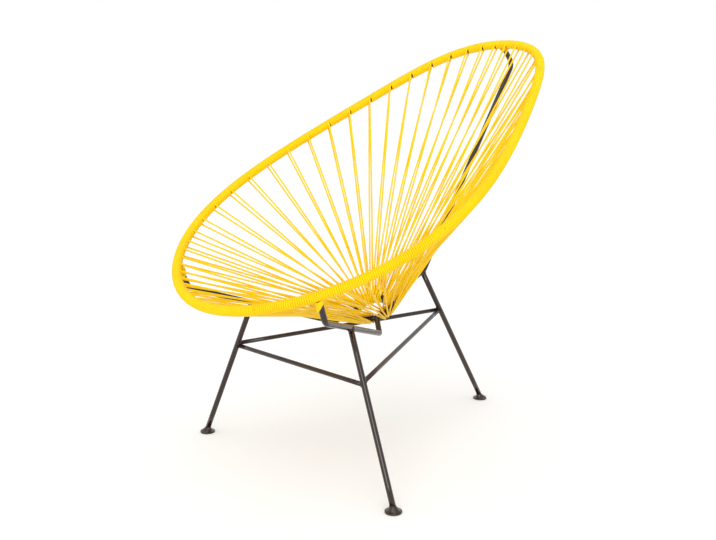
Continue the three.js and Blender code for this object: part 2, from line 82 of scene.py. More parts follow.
# Seat ring, and the angle from its front at which a riser meets it
RING_RADIUS = 0.043
RING_CENTRE = np.array([0.0, 0.448, 0.305])
RING_TILT = np.radians(24)
RISER_ANGLE = np.radians(52)
RING_STEPS = 96
RING_SIDES = 20

# Strand pairs: even ones in front of the bracket, then a fan whose spacing widens and narrows
# again behind it, and how many make up each group. The rooms, in cord widths, keep the loops clear
# of the riser and the spine.
FRONT_PAIRS = 8
FRONT_PITCH = 0.0305
SIDE_PAIRS = 21
GROUP_COUNTS = (4, 4, 3, 3, 3, 3, 3, 3, 3)
WIDE_SPACING = 1.95
WIDENING = (0.0, 0.25)
NARROWING = (0.74, 1.04)
SPACING_STEPS = 1440
SPINE_ROOM = 0.3
RISER_FRONT_ROOM = 0.2
RISER_REAR_ROOM = 1.0
BRACKET_LENGTH = FRONT_PAIRS * FRONT_PITCH

# Strands: how far they bow aside and lie over their neighbours, in cord widths, how much of the
# cord's thickness is left where it is pulled tight, and the hairline between groups on the rim
STRAND_BOW = 0.27
LOOP_LIFT = 1.03
STRETCHED = 0.9
STRAND_STEPS = 16
LOOP_STEPS = 13
GROUP_GAP = 0.00004

# Corners of the bent rods, and the radii of their bends
STUB_OFFSET = np.array([-0.006, 0.023, -0.055])
BRACKET_BENDS = (0.022, 0.013)
RISER_RUN = 0.048
RISER_DROP = 0.0235
SPINE_TOP_OFFSET = np.array([0.0, 0.0435, -0.0455])
HIP = np.array([0.0, 0.6165, 0.3675])
SPINE_BENDS = (0.020, 0.016)
SPINE_END_OFFSET = np.array([0.0, -0.006, -0.010])
BEND_STEPS = 14
STRAIGHT_STEPS = 6
BRACKET_SIDE = np.array([0.6, 0.8, 0.0])

# Legs and braces: the legs' tops as shares of the bar and of the spine's lower run, the height over
# a disc's middle that each leg aims at, and the heights of the braces' ends
LEG_ON_BAR = 0.422
LEG_ON_SPINE = 0.038
LEG_AIM_HEIGHT = 0.008
FRONT_BRACE_HEIGHT = 0.225
SIDE_BRACE_HEIGHT = 0.230
REAR_BRACE_HEIGHT = 0.264
STRAIGHT_STATIONS = 8
STRAIGHT_SIDE = (0.31, 0.17, 0.9)

# Foot discs, whose rounding is a share of the thickness and whose flat is a share of the radius,
# and the weld collars that climb the legs from them
FOOT_SIDES = 48
FOOT_ROUNDING = 0.3
FOOT_FLAT = 0.6
FOOT_MIDDLE = 0.0004
EDGE_STEPS = 5
COLLAR_HEIGHT = 0.0095
COLLAR_SPREAD = 0.0068
COLLAR_HOLLOW = 1.5
COLLAR_ROOM = 0.0002
COLLAR_STEPS = 9
COLLAR_RIPPLE = 0.015
COLLAR_WAVES = 7

# Weld beads, whose ripple is a share of the bead's radius
SEAM_STEPS = 40
BEAD_SIDES = 8
BEAD_RIPPLE = 0.10
BEAD_WAVES = 12

# Stub wraps: the step from turn to turn in cord widths, then each wrap's turns, and the share of
# the step that is left where they are pushed together
WRAP_STEP = 1.02
BRACKET_WRAP_TURNS = 5
BRACKET_WRAP_CLOSE = 0.04
SPINE_WRAP_TURNS = 3
SPINE_WRAP_CLOSE = 0.15

# Finishes: the scale and detail of each noise, the range of it that shows, how much wear it adds,
# the strength and depth of its bump, and each roughness with the spread that a noise adds to it
BLOTCHES = (22.0, 3.0)
BLOTCH_RANGE = (0.5, 0.72)
BLOTCH_WEAR = 0.5
PEEL = (900.0, 2.0)
PEEL_RANGE = (0.55, 0.75)
PEEL_WEAR = 0.25
PEEL_BUMP = (0.10, 0.0004)
PAINT_ROUGHNESS = 0.12
PAINT_ROUGHNESS_SPREAD = 0.12
PAINT_COAT = 0.12
PAINT_COAT_ROUGHNESS = 0.1
GRAIN = (420.0, 3.0)
GRAIN_RANGE = (0.45, 0.8)
GRAIN_BUMP = (0.25, 0.0006)
WELD_ROUGHNESS = 0.3
WELD_ROUGHNESS_SPREAD = 0.2
TONE = (16.0, 2.0)
TONE_RANGE = (0.3, 0.8)
MARKS = (1.0, 2.0)
MARK_BUMP = (0.08, 0.0003)
CORD_ROUGHNESS = 0.32
CORD_ROUGHNESS_SPREAD = 0.14
CORD_SPECULAR = 0.18
SURFACE_IOR = 1.5

# The drawing marks' scale along the cord and round it
MARK_SCALE = (60.0, 14.0, 1.0)

# Stage: each lamp's place, its spread in degrees and its power
LAMPS = {
    "overhead_lamp": ((0.5, -0.9, 2.6), 50, 0.7),
    "front_lamp": ((2.3, -2.3, 0.5), 40, 1.6),
}
AMBIENT = 0.74
FLOOR_HALF = 12.0
FLOOR_HEIGHT = -0.0002
FLOOR_GLOW = 0.09
WHITE = (1.0, 1.0, 1.0, 1.0)

# Camera
PHOTO_WIDTH = 716
PHOTO_HEIGHT = 540
CAMERA_FOCAL = 950
PRINCIPAL_POINT = (355.49, 268.23)
CAMERA_PLACE = (1.44015, -1.02684, 0.79986)
CAMERA_AZIMUTH = 45.4198
CAMERA_PITCH = 11.0980
SENSOR_WIDTH = 36.0


class ChairSizes(bpy.types.PropertyGroup):
    """Sizes of the rods, the cord and their facets."""

    hoop_rod: FloatProperty(
        name="Rim rod", description="Diameter of the rim hoop's rod", default=0.012, unit="LENGTH"
    )
    ring_rod: FloatProperty(
        name="Ring rod", description="Diameter of the seat ring's rod", default=0.011, unit="LENGTH"
    )
    frame_rod: FloatProperty(
        name="Frame rod",
        description="Diameter of the brackets, spine and legs",
        default=0.012,
        unit="LENGTH",
    )
    brace_rod: FloatProperty(
        name="Brace rod", description="Diameter of the braces", default=0.0095, unit="LENGTH"
    )
    cord: FloatProperty(
        name="Cord", description="Diameter of the seat cord", default=0.0044, unit="LENGTH"
    )
    wrap_pitch: FloatProperty(
        name="Winding pitch",
        description="Largest distance between turns on the rim",
        default=0.0044,
        unit="LENGTH",
    )
    foot_radius: FloatProperty(
        name="Foot radius", description="Radius of a foot disc", default=0.017, unit="LENGTH"
    )
    foot_thickness: FloatProperty(
        name="Foot thickness", description="Thickness of a foot disc", default=0.004, unit="LENGTH"
    )
    bead: FloatProperty(
        name="Weld bead", description="Radius of the weld beads", default=0.0017, unit="LENGTH"
    )
    rod_sides: IntProperty(name="Rod sides", description="Facets round a rod", default=28, min=6)
    cord_sides: IntProperty(
        name="Cord sides", description="Facets round the cord", default=8, min=4
    )
    turn_steps: IntProperty(
        name="Turn steps", description="Steps in a turn of the winding", default=16, min=8
    )


class ChairColours(bpy.types.PropertyGroup):
    """Colours of the paint, the cord and the studio."""

    paint: FloatVectorProperty(
        name="Frame paint",
        description="Powder coat on the rods",
        default=(0.020, 0.007, 0.003),
        subtype="COLOR",
    )
    paint_light: FloatVectorProperty(
        name="Worn paint",
        description="Thin spots of the powder coat",
        default=(0.032, 0.019, 0.012),
        subtype="COLOR",
    )
    cord: FloatVectorProperty(
        name="Cord", description="Plastic cord", default=(0.95, 0.645, 0.0), subtype="COLOR"
    )
    cord_deep: FloatVectorProperty(
        name="Deep cord",
        description="Deeper shade in the plastic",
        default=(0.95, 0.58, 0.0),
        subtype="COLOR",
    )
    floor: FloatVectorProperty(
        name="Floor", description="Studio floor", default=(0.95, 0.95, 0.95), subtype="COLOR"
    )


def sizes():
    return bpy.context.scene.chair_sizes


def colours():
    return bpy.context.scene.chair_colours


# Vectors


def unit(vectors):
    """Vectors divided by their lengths."""
    return vectors / np.linalg.norm(vectors, axis=-1, keepdims=True)


def dot(a, b):
    """Dot products of rows, kept as a column."""
    return np.sum(a * b, axis=-1, keepdims=True)


def squared(vectors, axis):
    """Vectors less their part along the unit vectors axis, then made unit length."""
    return unit(vectors - dot(vectors, axis) * axis)


def unchanged(points):
    """The same points."""
    return points


def mirrored(points):
    """Points with the sign of x changed."""
    return points * np.array([-1.0, 1.0, 1.0])


# Surfaces


def new_mesh(name, points, faces, smooth, charts, material):
    """A mesh object from points, faces and a pair of chart values for each corner of each face."""
    mesh = bpy.data.meshes.new(name)
    mesh.from_pydata(points.tolist(), [], faces)
    mesh.polygons.foreach_set("use_smooth", smooth)
    layer = mesh.uv_layers.new(name="Run")
    layer.data.foreach_set("uv", np.ascontiguousarray(charts, dtype=np.float32).ravel())
    mesh.materials.append(material)
    mesh.validate()
    obj = bpy.data.objects.new(name, mesh)
    bpy.context.scene.collection.objects.link(obj)
    return obj


def grid_faces(rows, columns, closed_rows):
    """Quads of a grid whose columns close on themselves, and whose rows may, facing outwards when
    the columns turn left about the way the rows run."""
    row = np.arange(rows if closed_rows else rows - 1)[:, None]
    column = np.arange(columns)[None, :]
    next_row = (row + 1) % rows
    next_column = (column + 1) % columns
    corners = [row * columns + column, row * columns + next_column]
    corners += [next_row * columns + next_column, next_row * columns + column]
    return np.stack(np.broadcast_arrays(*corners), axis=-1).reshape(-1, 4)


def grid_charts(lengths, columns, rows_used):
    """Chart values for those quads: length along the rows, and share of the way round."""
    row = np.arange(rows_used)[:, None]
    column = np.arange(columns)[None, :]
    pairs = []
    for row_step, column_step in ((0, 0), (0, 1), (1, 1), (1, 0)):
        run = np.broadcast_to(lengths[row + row_step], (rows_used, columns))
        round_share = np.broadcast_to((column + column_step) / columns, (rows_used, columns))
        pairs.append(np.stack([run, round_share], axis=-1))
    return np.stack(pairs, axis=2).reshape(-1, 2)


def headings_of(path, closed):
    """Unit directions at each place of a path: the mean of the directions before and after it."""
    if closed:
        steps = unit(np.roll(path, -1, axis=0) - path)
        return unit(steps + np.roll(steps, 1, axis=0))
    steps = unit(np.diff(path, axis=0))
    return unit(np.concatenate([steps[:1], steps]) + np.concatenate([steps, steps[-1:]]))


def swept_surface(path, side, radii, sides, closed):
    """Round section carried along a path: at turn v and place i the point is
    path + radius * (cos v * side + sin v * third), where side is squared to the heading and third
    is square to both."""
    heading = headings_of(path, closed)
    side = squared(side, heading)
    third = np.cross(heading, side)
    turn = (2 * np.pi * np.arange(sides) / sides)[None, :, None]
    circles = np.cos(turn) * side[:, None, :] + np.sin(turn) * third[:, None, :]
    points = path[:, None, :] + np.reshape(radii * np.ones(len(path)), (-1, 1, 1)) * circles
    return points.reshape(-1, 3)


def capped_rings(points, lengths, sides):
    """Points, faces, smooth flags and charts of a row of rings closed by a flat cap at each end."""
    rows = len(lengths)
    quads = grid_faces(rows, sides, False)
    first = list(range(sides))[::-1]
    last = list(range((rows - 1) * sides, rows * sides))
    round_share = np.arange(sides) / sides
    ends = [
        np.stack([np.full(sides, length), round_share], axis=-1)
        for length in (lengths[0], lengths[-1])
    ]
    charts = np.concatenate([grid_charts(lengths, sides, rows - 1), *ends])
    return points, quads.tolist() + [first, last], [True] * len(quads) + [False, False], charts


def swept(path, side, radii, sides, closed=False):
    """Points, faces, smooth flags and charts of a swept rod, whose open ends get flat caps."""
    points = swept_surface(path, side, radii, sides, closed)
    steps = np.linalg.norm(np.roll(path, -1, axis=0) - path, axis=1)
    lengths = np.concatenate([[0.0], np.cumsum(steps)])
    if not closed:
        return capped_rings(points, lengths[:-1], sides)
    quads = grid_faces(len(path), sides, True)
    return points, quads.tolist(), [True] * len(quads), grid_charts(lengths, sides, len(path))


def constant_side(path, hint):
    """The same side vector at every place of a path."""
    return np.broadcast_to(np.array(hint, dtype=float), path.shape)


def bent_path(corners, radii):
    """Path through corner points, where a bend of radius r replaces each inner corner: its arc runs
    about a centre on the line that halves the corner, from r * tan(half turn) before it to the same
    distance after it."""
    pieces = []
    start = corners[0]
    for corner, after, radius in zip(corners[1:-1], corners[2:], radii):
        back = unit(start - corner)
        on = unit(after - corner)
        turn = np.pi - np.arccos(np.clip(back @ on, -1, 1))
        reach = radius * np.tan(turn / 2)
        entry = corner + reach * back
        centre = corner + unit(back + on) * radius / np.cos(turn / 2)
        arm = unit(entry - centre)
        angle = turn * np.linspace(0, 1, BEND_STEPS + 1)[:, None]
        arc = centre + radius * (np.cos(angle) * arm - np.sin(angle) * back)
        share = np.linspace(0, 1, STRAIGHT_STEPS, endpoint=False)[:, None]
        pieces += [start + (entry - start) * share, arc[:-1]]
        start = arc[-1]
    pieces.append(start + (corners[-1] - start) * np.linspace(0, 1, STRAIGHT_STEPS)[:, None])
    return np.concatenate(pieces)


# Rim and ring


def cubic(shares, t):
    """Bezier cubic of four shares at t."""
    u = 1 - t
    return shares[0] * u**3 + 3 * shares[1] * t * u**2 + 3 * shares[2] * t**2 * u + shares[3] * t**3


def outline(angle):
    """Sine times a series in the cosine."""
    c = np.cos(angle)
    return np.sin(angle) * sum(share * c**power for power, share in enumerate(OUTLINE_SHARES))


def rim_points(angle):
    """Rim centre line: half width by the outline, run and rise by their cubics of (1 - cos) / 2."""
    t = (1 - np.cos(angle)) / 2
    x = HALF_WIDTH * outline(angle) / OUTLINE_PEAK
    y = RIM_RUN * cubic(RUN_SHARES, t)
    z = RIM_FRONT_HEIGHT + (RIM_TOP_HEIGHT - RIM_FRONT_HEIGHT) * cubic(RISE_SHARES, t)
    return np.stack([x, y, z], axis=-1)


FINE_ANGLES = np.linspace(0, np.pi, FINE_STEPS + 1)
OUTLINE_PEAK = outline(FINE_ANGLES).max()
FINE_RIM = rim_points(FINE_ANGLES)
FINE_LENGTHS = np.concatenate(
    [[0.0], np.cumsum(np.linalg.norm(np.diff(FINE_RIM, axis=0), axis=1))]
)
HALF_RIM = FINE_LENGTHS[-1]


def rim_stations(lengths):
    """Places on the left half of the rim by length from the front tip, with the way along it, the
    way in to the ring squared to it, and the way up, which is square to both."""
    angle = np.interp(lengths, FINE_LENGTHS, FINE_ANGLES)
    point = rim_points(angle)
    along = unit(rim_points(angle + ANGLE_NUDGE) - rim_points(angle - ANGLE_NUDGE))
    inward = squared(RING_CENTRE - point, along)
    return point, along, inward, np.cross(along, inward)


def ring_frames(angle):
    """Places on the ring by angle a from its front, with the way out from its axis and the way
    along it: centre + radius * out, where out is
    sin a * sideways - cos a * (cos tilt * back + sin tilt * up)."""
    s, c = np.sin(angle), np.cos(angle)
    ct, st = np.cos(RING_TILT), np.sin(RING_TILT)
    outward = np.stack([s, -c * ct, -c * st], axis=-1)
    along = np.stack([c, s * ct, s * st], axis=-1)
    return RING_CENTRE + RING_RADIUS * outward, outward, along


RING_AXIS = np.array([0.0, -np.sin(RING_TILT), np.cos(RING_TILT)])


def smoothstep(shares, t):
    """Smooth rise from 0 to 1 between two shares."""
    t = np.clip((t - shares[0]) / (shares[1] - shares[0]), 0, 1)
    return t * t * (3 - 2 * t)


def pair_places():
    """Length on the rim and angle on the ring of each strand pair of one half, the angle from loop
    to loop there, and the borders between the pairs' stretches of rim."""
    cord = sizes().cord
    front = (np.arange(FRONT_PAIRS) + 0.5) * FRONT_PITCH
    share = (np.arange(SPACING_STEPS) + 0.5) / SPACING_STEPS
    widened = smoothstep(WIDENING, share) * (1 - smoothstep(NARROWING, share))
    spacing = 1 + (WIDE_SPACING - 1) * widened
    counts = np.concatenate([[0.0], np.cumsum(1 / spacing)])
    wanted = counts[-1] * (np.arange(SIDE_PAIRS) + 0.5) / SIDE_PAIRS
    side_shares = np.interp(wanted, counts, np.linspace(0, 1, SPACING_STEPS + 1))
    lengths = np.concatenate([front, BRACKET_LENGTH + side_shares * (HALF_RIM - BRACKET_LENGTH)])

    def beside(room):
        return np.arcsin((sizes().frame_rod / 2 + cord * (0.5 + room)) / RING_RADIUS)

    front_start = np.arcsin(cord / 2 / (RING_RADIUS - (sizes().ring_rod + cord) / 2))
    front_step = (RISER_ANGLE - beside(RISER_FRONT_ROOM) - front_start) / (FRONT_PAIRS - 1)
    side_start = RISER_ANGLE + beside(RISER_REAR_ROOM)
    side_step = (np.pi - beside(SPINE_ROOM) - side_start) / (SIDE_PAIRS - 1)
    front_angles = front_start + np.arange(FRONT_PAIRS) * front_step
    side_angles = side_start + np.arange(SIDE_PAIRS) * side_step
    angles = np.concatenate([front_angles, side_angles])
    steps = np.concatenate([np.full(FRONT_PAIRS, front_step), np.full(SIDE_PAIRS, side_step)])
    borders = np.concatenate([[0.0], (lengths[1:] + lengths[:-1]) / 2, [HALF_RIM]])
    borders[FRONT_PAIRS] = BRACKET_LENGTH
    return lengths, angles, steps, borders


# Frame corners


def at_height(line, height):
    """The place on a line at a height."""
    low, high = line
    return low + (high - low) * (height - low[2]) / (high[2] - low[2])


def leg_line(disc, top):
    """A leg's line, from the top of its foot disc to its own top, aimed at a place over the disc's
    middle."""
    return np.array([at_height((disc + LEG_AIM_HEIGHT * UP, top), sizes().foot_thickness), top])


def frame_points():
    """Corner points of the left bracket, the spine, the left front leg, the rear leg and the
    braces, from the rim, the ring and the feet."""
    rim_at_bracket = rim_stations(np.array([BRACKET_LENGTH]))[0][0]
    bar_outer = rim_at_bracket + STUB_OFFSET
    riser_top = ring_frames(np.array([RISER_ANGLE]))[0][0]
    riser_way = np.array([np.sin(RISER_ANGLE), -np.cos(RISER_ANGLE), 0.0])
    bar_inner = riser_top + RISER_RUN * riser_way - RISER_DROP * UP
    rim_top = rim_points(np.array([np.pi]))[0]
    spine_end = ring_frames(np.array([np.pi]))[0][0] + SPINE_END_OFFSET
    front_leg = leg_line(FRONT_DISC, bar_outer + LEG_ON_BAR * (bar_inner - bar_outer))
    rear_leg = leg_line(REAR_DISC, HIP + LEG_ON_SPINE * (spine_end - HIP))
    front_brace_end = at_height(front_leg, FRONT_BRACE_HEIGHT)
    side_brace_end = at_height(front_leg, SIDE_BRACE_HEIGHT)
    return {
        "bracket": np.array([rim_at_bracket, bar_outer, bar_inner, riser_top]),
        "spine": np.array([rim_top, rim_top + SPINE_TOP_OFFSET, HIP, spine_end]),
        "front_leg": front_leg,
        "rear_leg": rear_leg,
        "front_brace": np.array([front_brace_end, mirrored(front_brace_end)]),
        "side_brace": np.array([side_brace_end, at_height(rear_leg, REAR_BRACE_HEIGHT)]),
    }


# Shader maths


class Value:
    """A number socket whose arithmetic adds Math nodes."""

    def __init__(self, shader, socket):
        self.shader = shader
        self.socket = socket

    def math(self, operation, *operands):
        """The result of a Math node on numbers or values."""
        inputs = dict(enumerate(operands))
        node = self.shader.add("ShaderNodeMath", {"operation": operation}, inputs)
        return Value(self.shader, node.outputs[0])

    def __add__(self, other):
        return self.math("ADD", self, other)

    def __sub__(self, other):
        return self.math("SUBTRACT", self, other)

    def __mul__(self, other):
        return self.math("MULTIPLY", self, other)

    def __rsub__(self, other):
        return self.math("SUBTRACT", other, self)

    __radd__ = __add__
    __rmul__ = __mul__

    def between(self, low, high):
        """Share of the way from low to high, kept within 0 and 1."""
        inputs = {"Value": self, "From Min": low, "From Max": high}
        node = self.shader.add("ShaderNodeMapRange", {"clamp": True}, inputs)
        return Value(self.shader, node.outputs[0])


def with_alpha(colour):
    """A colour's four channels."""
    return (*colour, 1.0)


class Shader:
    """A material's or a world's node tree, with one way to add any node."""

    def __init__(self, owner):
        owner.use_nodes = True
        self.tree = owner.node_tree
        self.tree.nodes.clear()

    def add(self, kind, settings=None, inputs=None):
        """A node of this type: its settings are set first, then the values or links of its
        sockets."""
        node = self.tree.nodes.new(kind)
        for name, value in (settings or {}).items():
            setattr(node, name, value)
        for name, value in (inputs or {}).items():
            source = value.socket if isinstance(value, Value) else value
            if isinstance(source, bpy.types.NodeSocket):
                self.tree.links.new(source, node.inputs[name])
            else:
                node.inputs[name].default_value = source
        return node

    def noise(self, place, scale, detail):
        """A noise between 0 and 1 over places."""
        inputs = {"Vector": place, "Scale": scale, "Detail": detail}
        return Value(self, self.add("ShaderNodeTexNoise", None, inputs).outputs[0])

    def blend(self, share, first, second):
        """The first colour where the share is 0 and the second where it is 1."""
        # Inputs 6 and 7 and output 2 are the Mix node's sockets for colours
        inputs = {0: share, 6: with_alpha(first), 7: with_alpha(second)}
        return self.add("ShaderNodeMix", {"data_type": "RGBA"}, inputs).outputs[2]

    def bump(self, height, strength, distance):
        """Normals tilted as by a relief of this height."""
        inputs = {"Height": height, "Strength": strength, "Distance": distance}
        return self.add("ShaderNodeBump", None, inputs).outputs[0]

    def seen(self):
        """1 for rays from the camera, reflections and glass, and 0 for those that carry light."""
        rays = self.add("ShaderNodeLightPath").outputs
        kinds = ("Is Camera Ray", "Is Glossy Ray", "Is Transmission Ray")
        camera, glossy, transmission = (Value(self, rays[kind]) for kind in kinds)
        return (camera + glossy + transmission).between(0.0, 1.0)

    def surface(self, inputs):
        """The Principled shader with these inputs, as the material's surface."""
        node = self.add("ShaderNodeBsdfPrincipled", None, inputs)
        self.add("ShaderNodeOutputMaterial", None, {"Surface": node.outputs[0]})


# Finishes


def paint_mix(shader, share):
    """The frame's paint, going over to its worn tone by a share."""
    return shader.blend(share, colours().paint, colours().paint_light)


def paint_material():
    """Powder coat: dark paint, thinner spots by a slow noise, a fine orange-peel bump."""
    material = bpy.data.materials.new("dark_powder_coat")
    shader = Shader(material)
    place = shader.add("ShaderNodeTexCoord").outputs["Object"]
    blotches = shader.noise(place, *BLOTCHES)
    peel = shader.noise(place, *PEEL)
    worn = blotches.between(*BLOTCH_RANGE) * BLOTCH_WEAR + peel.between(*PEEL_RANGE) * PEEL_WEAR
    shader.surface(
        {
            "Base Color": paint_mix(shader, worn),
            "Roughness": blotches * PAINT_ROUGHNESS_SPREAD + PAINT_ROUGHNESS,
            "IOR": SURFACE_IOR,
            "Coat Weight": PAINT_COAT,
            "Coat Roughness": PAINT_COAT_ROUGHNESS,
            "Normal": shader.bump(peel, *PEEL_BUMP),
        }
    )
    return material


def cord_material():
    """Plastic cord: yellow with a deeper tone by a slow noise, and faint drawing marks along it."""
    material = bpy.data.materials.new("yellow_plastic_cord")
    shader = Shader(material)
    place = shader.add("ShaderNodeTexCoord").outputs["Object"]
    chart = shader.add("ShaderNodeUVMap", {"uv_map": "Run"}).outputs[0]
    lengthwise = shader.add("ShaderNodeMapping", None, {"Vector": chart, "Scale": MARK_SCALE})
    deeper = shader.noise(place, *TONE).between(*TONE_RANGE)
    marks = shader.noise(lengthwise.outputs[0], *MARKS)
    shader.surface(
        {
            "Base Color": shader.blend(deeper, colours().cord, colours().cord_deep),
            "Roughness": marks * CORD_ROUGHNESS_SPREAD + CORD_ROUGHNESS,
            "IOR": SURFACE_IOR,
            "Specular IOR Level": CORD_SPECULAR,
            "Normal": shader.bump(marks, *MARK_BUMP),
        }
    )
    return material


def weld_material():
    """Painted weld: the powder coat over a rippled bead."""
    material = bpy.data.materials.new("painted_weld")
    shader = Shader(material)
    place = shader.add("ShaderNodeTexCoord").outputs["Object"]
    grain = shader.noise(place, *GRAIN)
    shader.surface(
        {
            "Base Color": paint_mix(shader, grain.between(*GRAIN_RANGE)),
            "Roughness": grain * WELD_ROUGHNESS_SPREAD + WELD_ROUGHNESS,
            "Normal": shader.bump(grain, *GRAIN_BUMP),
        }
    )
    return material


def material_named(name):
    """A finish by name, made the first time it is asked for."""
    makers = {
        "dark_powder_coat": paint_material,
        "yellow_plastic_cord": cord_material,
        "painted_weld": weld_material,
    }
    return bpy.data.materials.get(name) or makers[name]()


# Pieces


def piece(name, surface, finish, nodes=()):
    """A finished piece: moved back to the solids' place, riding on the chair, in its paint or cord
    slot, and standing in for the solids it is made after."""
    points, faces, smooth, charts = surface
    points = points + np.array([0.0, BACK_SHIFT, 0.0])
    obj = new_mesh(name, points, faces, smooth, charts, material_named(finish))
    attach(obj, "root")
    if nodes:
        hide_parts(*nodes)
    return obj


def both_sides(name, make, finish, nodes=()):
    """A left piece, and its right-hand twin. Make takes the way to turn the left's places into
    those of the piece's own side."""
    for side, turn in (("left", unchanged), ("right", mirrored)):
        piece(f"{side}_{name}", make(turn), finish, [f"{side}_{node}" for node in nodes])


class CHAIR_OT_rim(bpy.types.Operator):
    """Rim hoop: the closed egg-shaped rod that the cord is wound on"""

    bl_idname = "chair.rim"
    bl_label = "Rim hoop"

    def execute(self, context):
        lengths = np.linspace(0, HALF_RIM, HOOP_STEPS + 1)
        left, _, inward, _ = rim_stations(lengths)
        path = np.concatenate([left, mirrored(left[1:-1][::-1])])
        side = np.concatenate([inward, mirrored(inward[1:-1][::-1])])
        surface = swept(path, side, sizes().hoop_rod / 2, HOOP_SIDES, closed=True)
        piece("rim_hoop_rod", surface, "dark_powder_coat", ["rim_hoop"])
        return {"FINISHED"}


class CHAIR_OT_ring(bpy.types.Operator):
    """Seat ring: the small rod ring under the seat"""

    bl_idname = "chair.ring"
    bl_label = "Seat ring"

    def execute(self, context):
        angle = np.linspace(0, 2 * np.pi, RING_STEPS, endpoint=False)
        path, outward, _ = ring_frames(angle)
        surface = swept(path, outward, sizes().ring_rod / 2, RING_SIDES, closed=True)
        piece("seat_ring_rod", surface, "dark_powder_coat", ["seat_ring"])
        return {"FINISHED"}


class CHAIR_OT_brackets(bpy.types.Operator):
    """Front brackets: a stub off the rim, a bar and a riser to the ring on each side"""

    bl_idname = "chair.brackets"
    bl_label = "Front brackets"

    def execute(self, context):
        path = bent_path(frame_points()["bracket"], BRACKET_BENDS)

        def make(turn):
            placed = turn(path)
            side = constant_side(placed, turn(BRACKET_SIDE))
            return swept(placed, side, sizes().frame_rod / 2, sizes().rod_sides)

        both_sides("front_bracket_rod", make, "dark_powder_coat", ["front_bracket"])
        return {"FINISHED"}


class CHAIR_OT_spine(bpy.types.Operator):
    """Rear spine: the long bent rod from the rim's top to the ring"""

    bl_idname = "chair.spine"
    bl_label = "Rear spine"

    def execute(self, context):
        path = bent_path(frame_points()["spine"], SPINE_BENDS)
        side = constant_side(path, SIDEWAYS)
        surface = swept(path, side, sizes().frame_rod / 2, sizes().rod_sides)
        piece("rear_spine_rod", surface, "dark_powder_coat", ["rear_spine"])
        return {"FINISHED"}


def straight_rod(ends, diameter, turn=unchanged):
    """A straight rod between two points."""
    share = np.linspace(0, 1, STRAIGHT_STATIONS)[:, None]
    placed = turn(ends[0] + (ends[1] - ends[0]) * share)
    side = constant_side(placed, STRAIGHT_SIDE)
    return swept(placed, side, diameter / 2, sizes().rod_sides)


class CHAIR_OT_legs(bpy.types.Operator):
    """Legs: two splayed front legs and one rear leg"""

    bl_idname = "chair.legs"
    bl_label = "Legs"

    def execute(self, context):
        points = frame_points()
        both_sides(
            "front_leg_rod",
            lambda turn: straight_rod(points["front_leg"], sizes().frame_rod, turn),
            "dark_powder_coat",
            ["front_leg"],
        )
        rear = straight_rod(points["rear_leg"], sizes().frame_rod)
        piece("rear_leg_rod", rear, "dark_powder_coat", ["rear_leg"])
        return {"FINISHED"}


class CHAIR_OT_braces(bpy.types.Operator):
    """Braces: a triangle of thin rods between the legs"""

    bl_idname = "chair.braces"
    bl_label = "Braces"

    def execute(self, context):
        points = frame_points()
        front = straight_rod(points["front_brace"], sizes().brace_rod)
        piece("front_brace_rod", front, "dark_powder_coat", ["front_brace"])
        both_sides(
            "side_brace_rod",
            lambda turn: straight_rod(points["side_brace"], sizes().brace_rod, turn),
            "dark_powder_coat",
            ["side_brace"],
        )
        return {"FINISHED"}


def foot_profile():
    """Radii and heights of a foot's rings: from the middle of its underside, round the disc's two
    rounded edges, then up the collar, whose radius falls on a hollow curve to the leg's own."""
    radius, thickness = sizes().foot_radius, sizes().foot_thickness
    edge = thickness * FOOT_ROUNDING
    arc = np.linspace(0, np.pi / 2, EDGE_STEPS)
    low = np.stack([radius - edge + edge * np.sin(arc), edge - edge * np.cos(arc)], axis=-1)
    high_radii = radius - edge + edge * np.cos(arc)
    high = np.stack([high_radii, thickness - edge + edge * np.sin(arc)], axis=-1)
    share = np.linspace(0, 1, COLLAR_STEPS)
    inner = sizes().frame_rod / 2 + COLLAR_ROOM
    collar_radii = inner + COLLAR_SPREAD * (1 - share) ** COLLAR_HOLLOW
    collar = np.stack([collar_radii, thickness + COLLAR_HEIGHT * share], axis=-1)
    return np.concatenate([[[FOOT_MIDDLE, 0.0], [radius * FOOT_FLAT, 0.0]], low, high, collar])


def foot_surface(base, leg):
    """Foot disc with its weld collar, as level rings of points at the profile's radii and heights.
    The disc's rings stand over the disc's middle. The collar's climb along the leg, stretched along
    the leg's lean as a level cut of the leg is, with a ripple round them."""
    profile = foot_profile()
    is_collar = (np.arange(len(profile)) >= len(profile) - COLLAR_STEPS)[:, None, None]
    turn = 2 * np.pi * np.arange(FOOT_SIDES) / FOOT_SIDES
    circle = np.stack([np.cos(turn), np.sin(turn), 0 * turn], axis=-1)
    lean = unit(leg[1] - leg[0])
    level = squared(lean, UP)
    stretched = circle + dot(circle, level) * (1 / lean[2] - 1) * level
    ripple = 1 + COLLAR_RIPPLE * np.sin(COLLAR_WAVES * turn)[None, :, None] * is_collar
    rings = np.where(is_collar, stretched[None], circle[None]) * profile[:, 0, None, None] * ripple
    on_leg = leg[0] + (profile[:, 1:] - leg[0][2]) / lean[2] * lean
    centres = np.where(is_collar[:, 0], on_leg, base + profile[:, 1:] * UP)
    points = (rings + centres[:, None, :]).reshape(-1, 3)
    steps = np.linalg.norm(np.diff(profile, axis=0), axis=1)
    return capped_rings(points, np.concatenate([[0.0], np.cumsum(steps)]), FOOT_SIDES)


